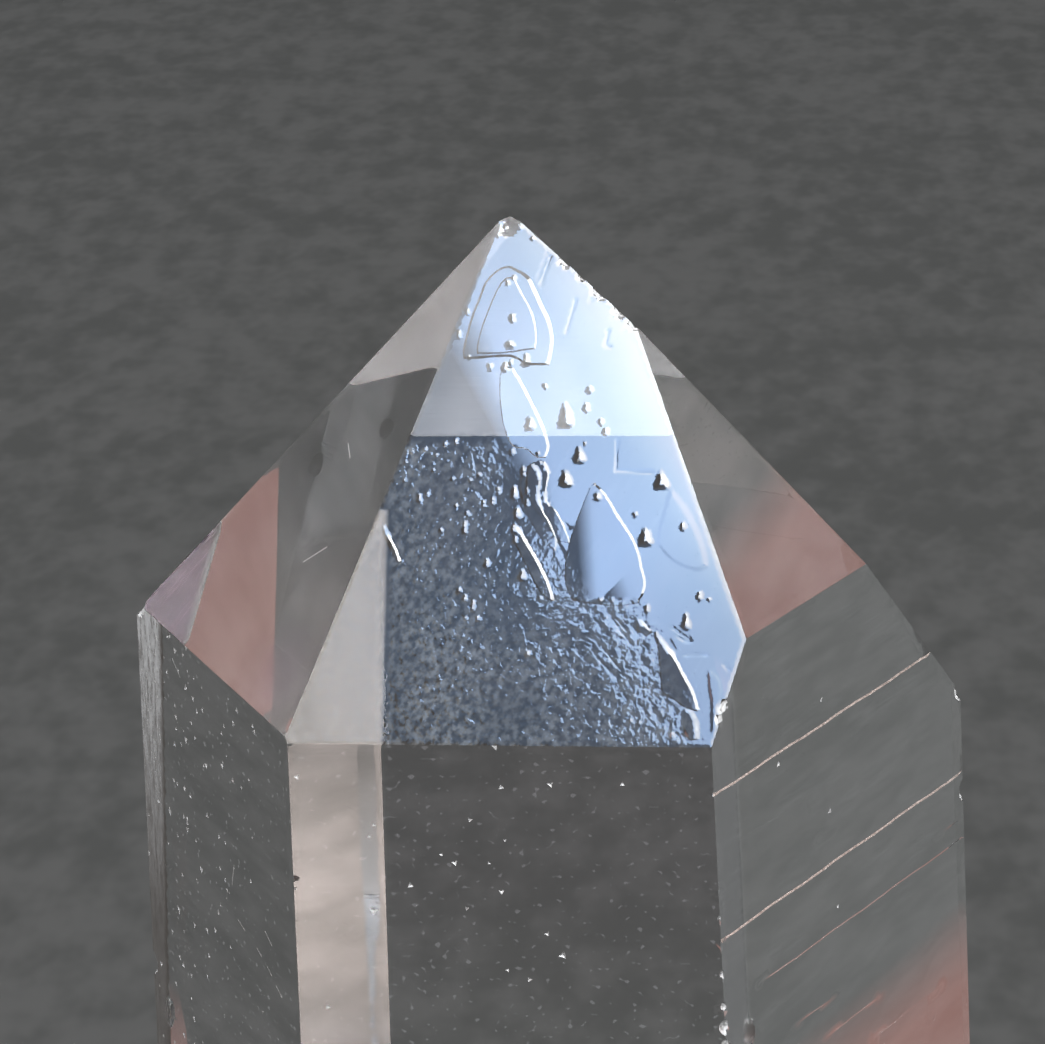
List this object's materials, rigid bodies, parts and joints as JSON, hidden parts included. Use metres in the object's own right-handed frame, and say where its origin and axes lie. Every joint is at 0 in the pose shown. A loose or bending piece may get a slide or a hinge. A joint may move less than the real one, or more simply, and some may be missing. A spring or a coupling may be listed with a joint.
{
  "type": "quartz crystal",
  "caption": "Clear quartz point: a hexagonal prism under an uneven six-faced tip, with growth plates and ledges, standing on its flat cut foot.",
  "frame": {"origin": "on the flat cut foot, under the middle of the crystal's box", "axes": "+Z along the crystal's long axis, from the cut foot to the point; -Y out of the front prism face, which lies under the broad sloping face; +X to the right as that face is looked at"},
  "size_m": [0.0321, 0.028, 0.0758],
  "materials": {
    "clear_quartz": "glossy natural crystal faces, faintly etched, with fine growth relief"
  },
  "bodies": {
    "root": {"quartz_crystal": "clear_quartz"}
  },
  "joints": []
}
